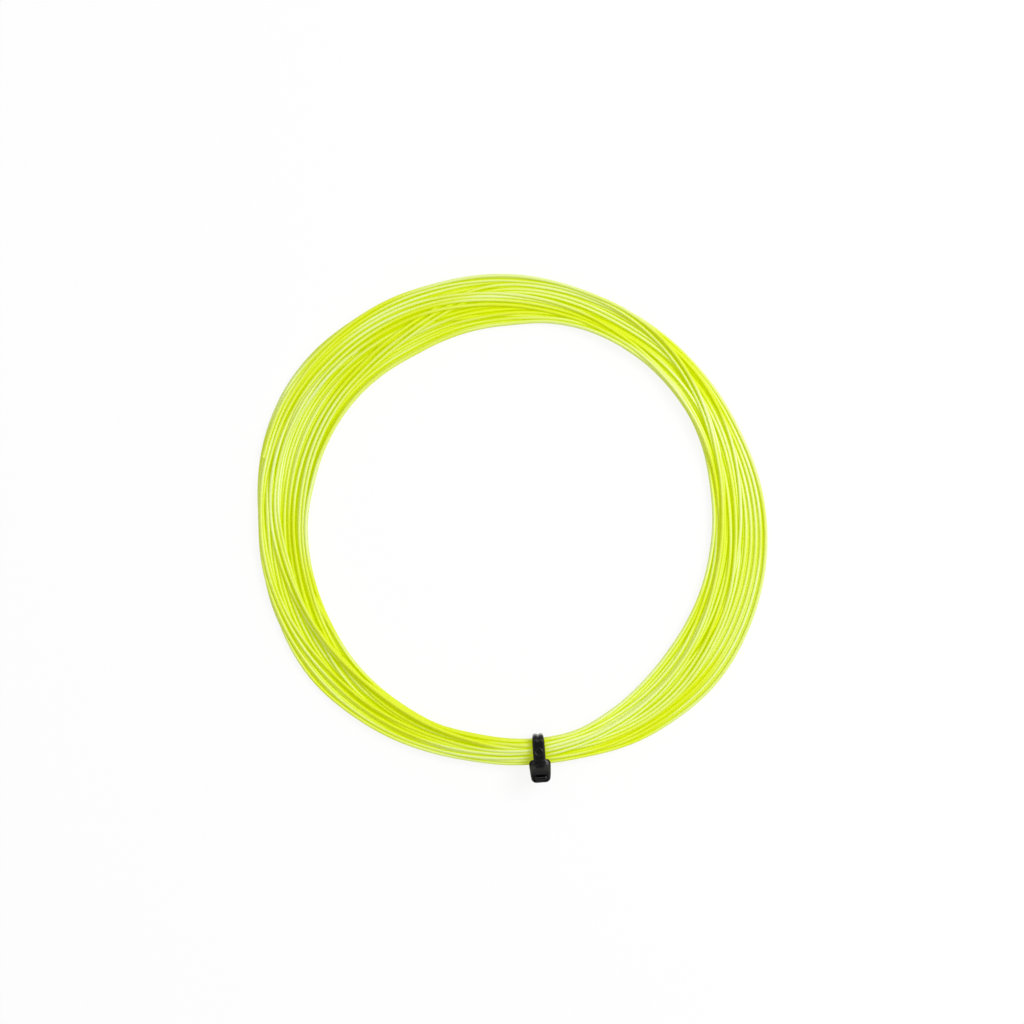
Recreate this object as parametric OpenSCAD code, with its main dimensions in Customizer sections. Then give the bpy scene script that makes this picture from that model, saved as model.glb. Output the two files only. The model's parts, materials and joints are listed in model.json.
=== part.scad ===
// Coil of racket string held by a small cable tie, lying flat on a table.
// The coil is one unbroken string in piled loops; the tie binds it at its narrowest place.

/* [String] */
// Diameter of the string
string_d = 0.7; // [0.6:0.01:0.8]
// Least gap between neighbouring loops where the tie draws them together
loop_gap = 0.42; // [0.41:0.01:0.5]
// Layers of loops in the pile
layers = 4; // [2:2:4]
// Loops in each layer
layer_loops = 6; // [5:1:6]

/* [Coil] */
// Mean radius of the loops where they pass through the tie
tied_radius = 48.2; // [44:0.1:52]
// Direction of the tie, seen from the middle of the coil
tie_angle = 276.6; // [265:0.1:290]
// How far to each side of the tie the string slopes down to the table, in degrees
lift_reach = 40; // [30:1:60]

/* [Strap] */
// Width of the strap
strap_w = 2.5; // [2.2:0.05:3]
// Thickness of the strap
strap_t = 0.95; // [0.85:0.01:1.05]
// Bevel along both edges of the strap's smooth face
strap_bevel = 0.22; // [0.1:0.01:0.3]
// Gap between the bundle and the strap
strap_clear = 0.08; // [0.05:0.01:0.15]
// Distance from one strap tooth to the next
tooth_pitch = 0.7; // [0.65:0.01:0.8]
// Depth of the strap teeth
tooth_depth = 0.2; // [0.15:0.01:0.22]
// Width of the toothed channel along the middle of the strap
channel_w = 1.7; // [1.5:0.05:1.8]
// Diameter of the round ejector mark on the smooth face
mark_d = 1.5; // [0.9:0.05:1.6]
// Depth of the ejector mark
mark_depth = 0.05; // [0.03:0.01:0.1]
// Width of the ring that makes the ejector mark
mark_ring = 0.15; // [0.1:0.01:0.2]

/* [Head] */
// How far the head reaches over the bundle
head_overlap = 1.15; // [1:0.05:1.3]
// Width of the head at the strap's root
head_w = 4.2; // [4:0.05:4.6]
// How much narrower the head is at its outer end
head_taper = 0.5; // [0.3:0.05:0.6]
// Length of the head, from the strap's root to its outer end
head_l = 4.55; // [4.4:0.05:4.8]
// Height of the head along its slot
head_h = 3.3; // [3.2:0.05:3.6]
// Height of the ledge that the strap grows out of
ledge_h = 1.05; // [1:0.01:1.2]
// Length of the ledge
ledge_l = 0.87; // [0.7:0.01:0.9]
// Length of the sloping shoulder
shoulder_l = 1.74; // [1.7:0.01:1.8]
// Wall outside the slot
outer_wall = 0.54; // [0.5:0.01:0.6]
// Rounding of the head's upright corners
corner_r = 0.7; // [0.5:0.05:0.9]
// Bevel round the top face of the head
top_bevel = 0.3; // [0.2:0.01:0.4]
// Clearance of the strap in the slot
slot_clear = 0.07; // [0.05:0.01:0.1]
// How far the cut end of the strap lies below the top face
tail_recess = 0.25; // [0.1:0.01:0.4]

/* [Pawl] */
// Width of the pawl
pawl_w = 1.5; // [1.3:0.05:1.55]
// Radius of the pawl's rounded root
pawl_root_r = 0.18; // [0.15:0.01:0.2]
// Height of the pawl's hinge line above the underside of the head
hinge_h = 0.5; // [0.45:0.01:0.55]
// Distance from the hinge line to the plane of the strap's tooth tips
hinge_back = 0.36; // [0.34:0.01:0.4]
// Length of the pawl above the hinge line
pawl_l = 1.66; // [1.6:0.01:1.7]
// Height over which the pawl's root widens to its full thickness
pawl_foot_h = 0.35; // [0.3:0.01:0.4]
// Running clearance round the pawl
pawl_clear = 0.04; // [0.03:0.01:0.05]
// Clearance between each side of the pawl and its pocket
pawl_side_clear = 0.1; // [0.05:0.01:0.15]
// Furthest swing of the pawl away from the strap, in degrees
pawl_swing = 12; // [10:1:13]

/* [Hidden] */

// Facets of the string: rings round each loop and sides round the string
rings = 24;
sides = 6;
half_ring = 180 / rings;

// Facets of the tie's bends and of its round holes and corners
bend_fn = 64;
hole_fn = 48;
corner_steps = 4;

// How far a cut runs past the face that it opens
overcut = 0.1;

// The coil's run, by direction from the tie: what to add to the tied radius, and how far the
// loops stand apart as a multiple of their spacing in the tie
route = [
    [  8, -0.6, 1.00],
    [ 28, -1.0, 1.68],
    [ 48, -1.1, 2.20],
    [ 68, -1.5, 2.10],
    [ 83, -2.1, 1.90],
    [108, -2.7, 1.35],
    [138, -3.1, 1.19],
    [158, -3.2, 1.32],
    [183, -3.6, 1.86],
    [223, -1.7, 2.25],
    [243, -1.3, 2.17],
    [268, -1.7, 1.66],
    [298, -1.0, 1.63],
    [323, -1.1, 1.24],
    [345, -1.35, 1.00],
];

// Flat sides of the string face along the radius, corners face up and down
flat_d = string_d * cos(180 / sides);
column_pitch = flat_d + loop_gap / cos(half_ring);
layer_pitch = string_d + loop_gap;
spiral_span = layer_loops - 0.5;
floor_cut = string_d / 10;
string_floor_z = string_d / 2 - floor_cut;
neighbour_d = 3 * string_d;

// Bundle and strap where they cross
bundle_w = (layer_loops - 1) * column_pitch + flat_d;
bundle_h = (layers - 1) * layer_pitch + string_d;
bundle_low_z = strap_t + strap_clear;
lift_h = bundle_low_z + string_d / 2 - string_floor_z;
side_y = bundle_w / 2 + strap_clear;
bend_r = string_d / 2 + strap_clear;
top_z = bundle_low_z + bundle_h + strap_clear;

// Head, along the radius through the tie
head_in_y = bundle_w / 2 - head_overlap;
head_out_y = head_in_y + head_l;
outer_end_w = head_w - head_taper;
slope_y = head_in_y + ledge_l;
face_y = slope_y + shoulder_l;
slot_out_y = head_out_y - outer_wall;
tail_y = slot_out_y - slot_clear - strap_t;
slot_in_y = tail_y - slot_clear;
slot_w = strap_w + 2 * slot_clear;
tail_bend_r = tail_y - side_y + bend_r;
tail_top_z = top_z + head_h - tail_recess;

// Pawl and its pocket
hinge_y = tail_y - hinge_back;
hinge_z = top_z + hinge_h;
bite = tooth_depth - pawl_clear;
slope_share = 0.7;
tooth_rise = slope_share * tooth_pitch;
pawl_front_y = tail_y - 1.5 * pawl_clear;
pawl_back_y = hinge_y - pawl_root_r;
pawl_top_z = hinge_z + pawl_l;
high_notch_z = pawl_top_z - pawl_clear;
pocket_w = pawl_w + 2 * pawl_side_clear;
pocket_clear = 2 * pawl_clear;
pocket_back_y = pawl_back_y - pocket_clear;
pocket_swing_y = hinge_y - pawl_root_r * cos(pawl_swing) - pawl_l * sin(pawl_swing) - pocket_clear;
pocket_low_h = hinge_h - pawl_root_r / 2;
pocket_slope_h = hinge_h + slope_share * pawl_l;
pocket_top_h = hinge_h + pawl_l + pocket_clear;

// ---- Route of the string ----

// Directions here are measured from the tie
function wrap(a) = a - 360 * floor(a / 360);

function stop_angle(i) =
    route[(i + len(route)) % len(route)][0] + 360 * floor(i / len(route));

function stop_value(i, k) = route[(i + len(route)) % len(route)][k];

function stop_slope(i, k) =
    (stop_value(i + 1, k) - stop_value(i - 1, k)) / (stop_angle(i + 1) - stop_angle(i - 1));

function stop_below(a) = max([-1, for (i = [0 : len(route) - 1]) if (route[i][0] <= a) i]);

// Smooth curve through the route's values, closed on itself
function along(a, k) =
    let (
        i = stop_below(wrap(a)),
        gap = stop_angle(i + 1) - stop_angle(i),
        t = (wrap(a) - stop_angle(i)) / gap
    )
    (1 + 2 * t) * (1 - t) ^ 2 * stop_value(i, k)
    + t * (1 - t) ^ 2 * gap * stop_slope(i, k)
    + t ^ 2 * (3 - 2 * t) * stop_value(i + 1, k)
    + t ^ 2 * (t - 1) * gap * stop_slope(i + 1, k);

function middle_r(a) = tied_radius / cos(half_ring) + along(a, 1);

function pitch_at(a) = column_pitch * max(1, along(a, 2));

// The string keeps its full lift for the whole straight stretch through the tie
function lift_at(a) =
    let (off = max(0, abs(wrap(a + 180) - 180) - half_ring))
    off < lift_reach ? lift_h * (1 + cos(180 * off / lift_reach)) / 2 : 0;

// ---- Loops ----

turns = layers * layer_loops;
ring_count = turns * rings;
start_angle = -90;

function layer_of(s) = min(layers - 1, floor(s / layer_loops));

// Place in the layer, 0 at its inner loop. Even layers wind inwards and odd ones outwards, and
// the last one keeps winding until the string ends.
function column_of(s) =
    let (
        k = layer_of(s),
        m = s - k * layer_loops,
        n = k < layers - 1 ? min(spiral_span, m) : m
    )
    k % 2 == 0 ? spiral_span - n : n;

// Height in layers: the string climbs one in the half turn where the spiral reverses
function level_of(s) =
    let (
        k = layer_of(s),
        m = s - k * layer_loops - spiral_span
    )
    k + (k < layers - 1 ? max(0, 2 * m) : 0);

function from_tie(s) = start_angle + 360 * s;

function loop_r(s) =
    middle_r(from_tie(s)) + (column_of(s) - spiral_span / 2) * pitch_at(from_tie(s));

function loop_z(s) = string_floor_z + lift_at(from_tie(s)) + level_of(s) * layer_pitch;

function on_ring(a, r, z) = [r * cos(tie_angle + a), r * sin(tie_angle + a), z];

// Corners of the string at place s of its run, counted in turns
function section(s) = [
    for (j = [0 : sides - 1])
        let (b = 360 * (j + 0.5) / sides)
        on_ring(
            from_tie(s),
            loop_r(s) + string_d / 2 * cos(b),
            loop_z(s) + string_d / 2 * sin(b)
        )
];

// Rings stand half a step to each side of the tie, so that the string is straight through it
places = [0, each [for (i = [0 : ring_count - 1]) (i + 0.5) / rings], turns];
sections = [for (s = places) section(s)];

// ---- Least gap, measured between the corners of strings that lie side by side ----

function centre(sec) = [for (p = sec) 1] * sec / sides;

function corner_gap(a, b) = min([for (p = a) for (q = b) norm(p - q)]);

// Least gap between two rows of sections, a whole number of turns apart
function least_gap(row) =
    let (mids = [for (sec = row) centre(sec)])
    cos(half_ring) * min([
        for (i = [0 : len(row) - 1 - rings])
            for (j = [i + rings : rings : len(row) - 1])
                if (norm(mids[i] - mids[j]) < neighbour_d)
                    corner_gap(row[i], row[j])
    ]);

ring_row = [for (i = [1 : ring_count]) sections[i]];
between_row = [
    sections[0],
    each [for (i = [1 : ring_count - 1]) (sections[i] + sections[i + 1]) / 2],
    sections[ring_count + 1],
];
string_length = [for (i = [0 : ring_count]) 1]
    * [for (i = [0 : ring_count]) norm(centre(sections[i + 1]) - centre(sections[i]))];

echo(str("string in ", turns, " loops, ", round(string_length), " mm long as drawn"));
echo(str("least gap of the string to itself: ", min(least_gap(ring_row), least_gap(between_row))));

// ---- The part's frame: on the table, at the middle of its outline ----

tie_from = on_ring(-half_ring, middle_r(-half_ring), 0);
tie_to = on_ring(half_ring, middle_r(half_ring), 0);
tie_at = (tie_from + tie_to) / 2;
tie_turn = atan2(tie_to.y - tie_from.y, tie_to.x - tie_from.x) + 180;

outline = [for (s = sections) for (p = s) p];
low_x = min([for (p = outline) p.x]);
high_x = max([for (p = outline) p.x]);
high_y = max([for (p = outline) p.y]);
head_reach = [-sin(tie_turn), cos(tie_turn)] * head_out_y;
low_y = tie_at.y + head_reach.y + abs(sin(tie_turn)) * (corner_r - outer_end_w / 2);
middle = [(low_x + high_x) / 2, (low_y + high_y) / 2, 0];

module in_tie() {
    translate(tie_at - middle) rotate([0, 0, tie_turn]) children();
}

// ---- String ----

// Triangles between one section and the next
function skin(count) = [
    for (i = [0 : count - 1])
        for (j = [0 : sides - 1])
            let (
                a = i * sides + j,
                b = i * sides + (j + 1) % sides
            )
            each [[a, b, b + sides], [a, b + sides, a + sides]]
];

// Flat cut end of the string, as a fan of triangles
function end_cap(first, flip) = [
    for (j = [1 : sides - 2])
        flip ? [first, first + j, first + j + 1] : [first, first + j + 1, first + j]
];

module string_tube() {
    polyhedron(
        points = outline,
        faces = concat(
            skin(ring_count + 1),
            end_cap(0, false),
            end_cap((ring_count + 1) * sides, true)
        )
    );
}

module string_coil() {
    reach = high_x - low_x;
    color([0.83, 0.94, 0.12])
    difference() {
        translate(-middle) string_tube();
        translate([-reach, -reach, -string_d]) cube([2 * reach, 2 * reach, string_d]);
    }
}

// ---- Strap: toothed inside, smooth and bevelled outside ----

strap_section = [
    [0, -strap_w / 2],
    [strap_t - strap_bevel, -strap_w / 2],
    [strap_t, strap_bevel - strap_w / 2],
    [strap_t, strap_w / 2 - strap_bevel],
    [strap_t - strap_bevel, strap_w / 2],
    [0, strap_w / 2],
];

// Straight stretch whose toothed face runs from a to b, both given as [outward, up]
module strap_run(a, b) {
    step = b - a;
    translate([0, a[0], a[1]]) rotate([atan2(-step[0], step[1]), 0, 0])
        linear_extrude(norm(step)) rotate([0, 0, 90]) mirror([0, 1]) polygon(strap_section);
}

// Quarter bend round c, from direction a, with radius r at the toothed face
module strap_bend(c, r, a) {
    translate([0, c[0], c[1]]) rotate([90, 0, 90]) rotate([0, 0, a])
        rotate_extrude(angle = 90, $fn = bend_fn) translate([r, 0]) polygon(strap_section);
}

// One tooth gap at p on the toothed face, where the strap runs in direction a
module notch(p, a) {
    translate([0, p[0], p[1]]) rotate([90, 0, 90]) rotate([0, 0, a])
        translate([0, 0, -channel_w / 2]) linear_extrude(channel_w)
            polygon([
                [0, overcut],
                [0, -tooth_depth],
                [-tooth_rise, 0],
                [-tooth_rise, overcut],
            ]);
}

// Each stretch ends on a part of a tooth that is left smooth
smooth_share = 0.4;

module run_notches(a, b) {
    step = b - a;
    count = floor(norm(step) / tooth_pitch);
    for (i = [1 : 1 : count])
        notch(a + step * i / (count + smooth_share), atan2(step[1], step[0]));
}

tail_bend_c = [tail_y - tail_bend_r, strap_t + tail_bend_r];
low_bend_c = [bend_r - side_y, strap_t + bend_r];
high_bend_c = [bend_r - side_y, top_z - bend_r];
root_p = [head_in_y, top_z];
high_p = [high_bend_c[0], top_z];
side_high_p = [-side_y, high_bend_c[1]];
side_low_p = [-side_y, low_bend_c[1]];
low_p = [low_bend_c[0], strap_t];
low_out_p = [tail_bend_c[0], strap_t];
tail_low_p = [tail_y, tail_bend_c[1]];
tail_end_p = [tail_y, tail_top_z];

module strap_band() {
    strap_run(root_p, high_p);
    strap_bend(high_bend_c, bend_r, 90);
    strap_run(side_high_p, side_low_p);
    strap_bend(low_bend_c, bend_r, 180);
    strap_run(low_p, low_out_p);
    strap_bend(tail_bend_c, tail_bend_r, 270);
    strap_run(tail_low_p, tail_end_p);
}

module strap_teeth() {
    run_notches(root_p, high_p);
    run_notches(side_high_p, side_low_p);
    run_notches(low_p, low_out_p);
    bend_teeth = floor(tail_bend_r * PI / 2 / tooth_pitch);
    for (i = [1 : bend_teeth]) {
        b = 270 + 90 * i / (bend_teeth + smooth_share);
        notch(tail_bend_c + tail_bend_r * [cos(b), sin(b)], b + 90);
    }
    // The tail's teeth are counted from the gap that the pawl's upper tooth sits in
    for (k = [-1 : 1 : floor((high_notch_z - tail_bend_c[1] - tooth_rise) / tooth_pitch)])
        if (high_notch_z - k * tooth_pitch < tail_top_z)
            notch([tail_y, high_notch_z - k * tooth_pitch], 90);
}

// Shallow ring left by the ejector pin
module ejector_mark() {
    translate([0, 0, top_z + strap_t - mark_depth])
        difference() {
            cylinder(h = mark_depth + overcut, d = mark_d, $fn = hole_fn);
            translate([0, 0, -overcut])
                cylinder(h = mark_depth + 3 * overcut, d = mark_d - 2 * mark_ring, $fn = hole_fn);
        }
}

module tie_strap() {
    color([0.09, 0.09, 0.1])
    in_tie() difference() {
        strap_band();
        strap_teeth();
        ejector_mark();
    }
}

// ---- Head ----

head_side = [
    [head_in_y, 0],
    [head_out_y, 0],
    [head_out_y, head_h - top_bevel],
    [head_out_y - top_bevel, head_h],
    [face_y, head_h],
    [slope_y, ledge_h],
    [head_in_y, ledge_h],
];

function corner(c, a) = [
    for (i = [0 : corner_steps])
        let (b = a + 90 * i / corner_steps)
        c + corner_r * [cos(b), sin(b)]
];

head_plan = concat(
    corner([head_w / 2 - corner_r, head_in_y + corner_r], -90),
    corner([outer_end_w / 2 - corner_r, head_out_y - corner_r], 0),
    corner([corner_r - outer_end_w / 2, head_out_y - corner_r], 90),
    corner([corner_r - head_w / 2, head_in_y + corner_r], 180)
);

// Slices the long top edges off the head, above its ledge
module side_bevel() {
    rise = head_h - ledge_h;
    for (m = [0, 1])
        mirror([m, 0, 0])
            translate([head_w / 2, head_in_y, 0]) rotate([0, 0, atan(head_taper / 2 / head_l)])
                translate([0, -overcut, 0]) rotate([-90, 0, 0]) mirror([0, 1, 0])
                    linear_extrude(head_l + 2 * overcut)
                        polygon([
                            [-top_bevel, head_h],
                            [-top_bevel, head_h + overcut],
                            [overcut, head_h + overcut],
                            [overcut, head_h - rise / 2],
                            [0, head_h - rise / 2],
                        ]);
}

// Slot for the strap, narrow where the strap is bevelled
module slot() {
    bevel_y = tail_y + strap_t - strap_bevel;
    translate([0, 0, -overcut]) linear_extrude(head_h + 2 * overcut)
        polygon([
            [-slot_w / 2, slot_in_y],
            [slot_w / 2, slot_in_y],
            [slot_w / 2, bevel_y],
            [slot_w / 2 - strap_bevel, slot_out_y],
            [strap_bevel - slot_w / 2, slot_out_y],
            [-slot_w / 2, bevel_y],
        ]);
}

// Pocket behind the strap that the pawl stands and swings in
module pawl_pocket() {
    rotate([90, 0, 90]) translate([0, 0, -pocket_w / 2]) linear_extrude(pocket_w)
        polygon([
            [tail_y, pocket_low_h],
            [pocket_back_y, pocket_low_h],
            [pocket_back_y, hinge_h],
            [pocket_swing_y, pocket_slope_h],
            [pocket_swing_y, pocket_top_h],
            [tail_y, pocket_top_h],
        ]);
    translate([-pocket_w / 2, hinge_y, hinge_h]) rotate([0, 90, 0])
        cylinder(h = pocket_w, r = pawl_root_r + pawl_clear, $fn = hole_fn);
}

module tie_head() {
    color([0.11, 0.11, 0.12])
    in_tie() translate([0, 0, top_z]) difference() {
        intersection() {
            rotate([90, 0, 90]) translate([0, 0, -head_w / 2])
                linear_extrude(head_w) polygon(head_side);
            linear_extrude(head_h) polygon(head_plan);
        }
        side_bevel();
        slot();
        pawl_pocket();
    }
}

// ---- Pawl ----

module pawl_tooth(z) {
    polygon([
        [pawl_front_y - pawl_clear, z - pawl_clear],
        [tail_y + bite, z - pawl_clear],
        [tail_y - pawl_clear, z - tooth_rise + pawl_clear],
        [pawl_front_y - pawl_clear, z - tooth_rise + pawl_clear],
    ]);
}

module tie_pawl() {
    color([0.16, 0.16, 0.17])
    in_tie() {
        rotate([90, 0, 90]) translate([0, 0, -pawl_w / 2]) linear_extrude(pawl_w)
            union() {
                polygon([
                    [pawl_back_y, hinge_z],
                    [hinge_y + pawl_root_r, hinge_z],
                    [pawl_front_y, hinge_z + pawl_foot_h],
                    [pawl_front_y, pawl_top_z],
                    [pawl_back_y, pawl_top_z],
                ]);
                pawl_tooth(high_notch_z);
                pawl_tooth(high_notch_z - tooth_pitch);
            }
        translate([-pawl_w / 2, hinge_y, hinge_z]) rotate([0, 90, 0])
            cylinder(h = pawl_w, r = pawl_root_r, $fn = hole_fn);
    }
}

string_coil();
tie_strap();
tie_head();
tie_pawl();
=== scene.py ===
import json
import math

import bmesh
import bpy
import numpy as np
from mathutils import Matrix, Vector


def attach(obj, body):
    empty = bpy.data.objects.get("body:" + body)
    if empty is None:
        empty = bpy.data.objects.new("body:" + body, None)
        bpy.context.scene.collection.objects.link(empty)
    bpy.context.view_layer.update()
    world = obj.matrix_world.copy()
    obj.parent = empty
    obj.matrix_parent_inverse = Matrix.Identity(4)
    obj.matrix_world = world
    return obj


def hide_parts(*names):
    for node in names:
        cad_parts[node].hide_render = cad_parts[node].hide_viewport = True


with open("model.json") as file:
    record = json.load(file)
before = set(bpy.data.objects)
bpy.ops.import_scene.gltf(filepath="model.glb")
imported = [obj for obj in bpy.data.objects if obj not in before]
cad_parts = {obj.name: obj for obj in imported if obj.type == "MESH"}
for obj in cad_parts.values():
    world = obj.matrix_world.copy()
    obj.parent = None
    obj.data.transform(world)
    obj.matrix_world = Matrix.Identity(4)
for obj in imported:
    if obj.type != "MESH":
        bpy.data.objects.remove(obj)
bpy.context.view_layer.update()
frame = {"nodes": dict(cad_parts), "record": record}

# ---- Camera, table and light ----
# The coil lies flat on a white table, under a small soft lamp to its right and a little behind,
# inside a pale tent that is brighter on that side. It is looked at from straight above through a
# long lens, and the table stays white and keeps the coil's soft shadow.

MM = 0.001
PIXELS_PER_MM = 4.9
IMAGE_SIDE = 1024
LENS_MM = 100
LENS_FILM_MM = 36
AIM = Vector((0.424, 3.118, 2.0)) * MM
# The lamp's side and place in metres, and its power in watts
LAMP_SIDE = 0.25
LAMP_POWER = 1.25
LAMP_PLACE = (0.28, 0.12, 0.40)
# The tent's light at some heights, from 0 at table level to 1 overhead, and how much it grows
# towards the right and the far side
TENT_LIGHT = ((0.55, 0.36), (0.74, 1.0), (0.93, 1.0), (0.985, 0.1))
TENT_LEAN = (0.35, 0.35, 0)
# The table's side in metres, and how far its face lies below the string and the tie, which stand
# at height 0, in millimetres
TABLE_SIDE = 3.0
TABLE_GAP = 0.03
TABLE_COLOUR = "#FCFCFC"
TABLE_LIFT = 0.86


def linear(colour):
    """An sRGB hex colour as linear RGBA."""
    channels = [int(colour[i : i + 2], 16) / 255 for i in (1, 3, 5)]
    return [c / 12.92 if c <= 0.04045 else ((c + 0.055) / 1.055) ** 2.4 for c in channels] + [1.0]


def add(tree, kind, links=None, **settings):
    """A node of that kind. Links gives each input's value, or the output that feeds it."""
    made = tree.nodes.new(kind)
    for name, value in settings.items():
        setattr(made, name, value)
    for name, value in (links or {}).items():
        if isinstance(value, bpy.types.NodeSocket):
            tree.links.new(value, made.inputs[name])
        else:
            made.inputs[name].default_value = value
    return made


def new_material(name):
    """An empty material, and its node tree."""
    made = bpy.data.materials.new(name)
    made.use_nodes = True
    made.node_tree.nodes.clear()
    return made, made.node_tree


def put(name, data):
    """A new object that shows the data, at the origin."""
    made = bpy.data.objects.new(name, data)
    bpy.context.scene.collection.objects.link(made)
    return made


film_side = IMAGE_SIDE / PIXELS_PER_MM * MM
camera = put("camera", bpy.data.cameras.new("camera"))
camera.data.lens = LENS_MM
camera.data.sensor_width = LENS_FILM_MM
camera.location = AIM + Vector((0, 0, film_side * LENS_MM / LENS_FILM_MM))
bpy.context.scene.camera = camera
bpy.context.scene.view_settings.view_transform = "Standard"

lamp = put("softbox", bpy.data.lights.new("softbox", "AREA"))
lamp.data.size = LAMP_SIDE
lamp.data.energy = LAMP_POWER
lamp.location = LAMP_PLACE
lamp.rotation_mode = "QUATERNION"
lamp.rotation_quaternion = lamp.location.to_track_quat("Z", "Y")

tent = bpy.data.worlds.new("tent")
bpy.context.scene.world = tent
tent.use_nodes = True
tree = tent.node_tree
tree.nodes.clear()
rays = add(tree, "ShaderNodeLightPath")
looking = add(tree, "ShaderNodeTexCoord")
height = add(tree, "ShaderNodeSeparateXYZ", {0: looking.outputs["Generated"]})
panel = add(tree, "ShaderNodeValToRGB", {"Fac": height.outputs["Z"]})
stops = panel.color_ramp.elements
for place, strength in TENT_LIGHT:
    stops.new(place).color = (strength, strength, strength, 1)
stops.remove(stops[0])
stops.remove(stops[-1])
leaning = add(
    tree,
    "ShaderNodeVectorMath",
    {0: looking.outputs["Generated"], 1: TENT_LEAN},
    operation="DOT_PRODUCT",
)
brighter_side = add(tree, "ShaderNodeMath", {0: leaning.outputs["Value"], 1: 1.0})
tent_light = add(
    tree,
    "ShaderNodeBackground",
    {"Color": panel.outputs["Color"], "Strength": brighter_side.outputs[0]},
)
tent_seen = add(tree, "ShaderNodeBackground", {"Color": linear("#FFFFFF"), "Strength": 1.0})
tent_mix = add(
    tree,
    "ShaderNodeMixShader",
    {0: rays.outputs["Is Camera Ray"], 1: tent_light.outputs[0], 2: tent_seen.outputs[0]},
)
add(tree, "ShaderNodeOutputWorld", {"Surface": tent_mix.outputs[0]})

# Painted white board: matt, and lifted most of the way to white for the camera, so that it looks
# white in full light and still shows the coil's soft shadow
board, tree = new_material("white_painted_board")
rays = add(tree, "ShaderNodeLightPath")
paint = add(tree, "ShaderNodeBsdfDiffuse", {"Color": linear(TABLE_COLOUR)})
glow = add(tree, "ShaderNodeEmission", {"Color": linear("#FFFFFF"), "Strength": 1.0})
share = add(
    tree,
    "ShaderNodeMath",
    {0: rays.outputs["Is Camera Ray"], 1: TABLE_LIFT},
    operation="MULTIPLY",
)
lifted = add(
    tree,
    "ShaderNodeMixShader",
    {0: share.outputs[0], 1: paint.outputs[0], 2: glow.outputs[0]},
)
add(tree, "ShaderNodeOutputMaterial", {"Surface": lifted.outputs[0]})

half = TABLE_SIDE / 2
top = bpy.data.meshes.new("table_top")
corners = ((-half, -half), (half, -half), (half, half), (-half, half))
top.from_pydata([(x, y, -TABLE_GAP * MM) for x, y in corners], [], [(0, 1, 2, 3)])
top.materials.append(board)
put("table_top", top)

# ---- Racket string ----
# One set of badminton string: 10 m of 0.70 mm multifilament nylon under a glossy fluorescent coat.
# It comes off the winder in some 34 springy loops, which pile up, cross and rest on each other as
# they like, and are held at one place only.

# Sizes in millimetres, lengths along the string in turns of the coil, and directions in degrees.
# Each turn is worked out at so many places, and swept through so many rings.
STRING_D = 0.70
STRING_LENGTH = 10000.0
STRING_SIDES = 10
RING_X, RING_Y = 0.424, 1.485
LOOPS = 34.6
END_DIRECTION = 170.0
PLACES = 120
RINGS = 180
SEED = 7

# Direction from the middle of the coil, radius of the inner rim and of the outer rim
RIM = (
    (0, 41.0, 52.3), (10, 41.0, 51.5), (20, 41.6, 50.4), (30, 42.0, 49.9), (50, 42.0, 49.1),
    (70, 41.5, 49.0), (80, 40.9, 49.6), (90, 39.8, 50.2), (110, 39.2, 50.9), (120, 39.0, 51.8),
    (130, 39.6, 52.4), (140, 40.2, 53.4), (150, 40.6, 53.8), (160, 40.9, 53.7), (170, 41.1, 53.0),
    (180, 41.8, 51.8), (200, 42.2, 52.2), (210, 42.5, 52.5), (220, 43.1, 52.5), (230, 43.5, 51.7),
    (240, 43.8, 51.1), (250, 44.3, 50.4), (260, 44.2, 49.9), (277, 44.9, 50.1), (287, 44.9, 50.6),
    (300, 43.4, 52.2), (310, 42.3, 52.9), (320, 41.5, 53.8), (330, 41.2, 53.7), (350, 40.9, 53.0),
)

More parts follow.
